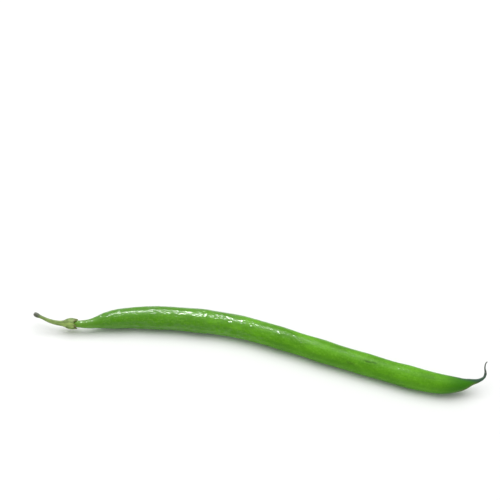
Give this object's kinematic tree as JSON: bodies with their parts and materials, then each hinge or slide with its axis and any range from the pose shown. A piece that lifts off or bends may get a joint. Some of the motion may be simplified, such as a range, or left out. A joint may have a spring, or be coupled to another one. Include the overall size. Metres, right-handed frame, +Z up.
{
  "type": "green bean",
  "caption": "Long slim green bean lying on its side, gently curved, with faint seed swellings, a thin curled tail at one end and a short bent stem with a toothed cup at the other.",
  "frame": {"origin": "on the surface that the bean lies on, under the middle of its bounding box", "axes": "+X runs along the bean from the stem to the tail, +Y is the side that the stem's half bows towards, +Z is up"},
  "size_m": [0.1526, 0.0206, 0.0079],
  "materials": {
    "pod_skin": "smooth wet green skin, glossy, with fine pores and a grey-green tail",
    "stem_skin": "pale olive stalk and cup, brown at the cup's edge and at the broken end"
  },
  "bodies": {
    "root": {"pod": "pod_skin", "stem": "stem_skin"}
  },
  "joints": []
}
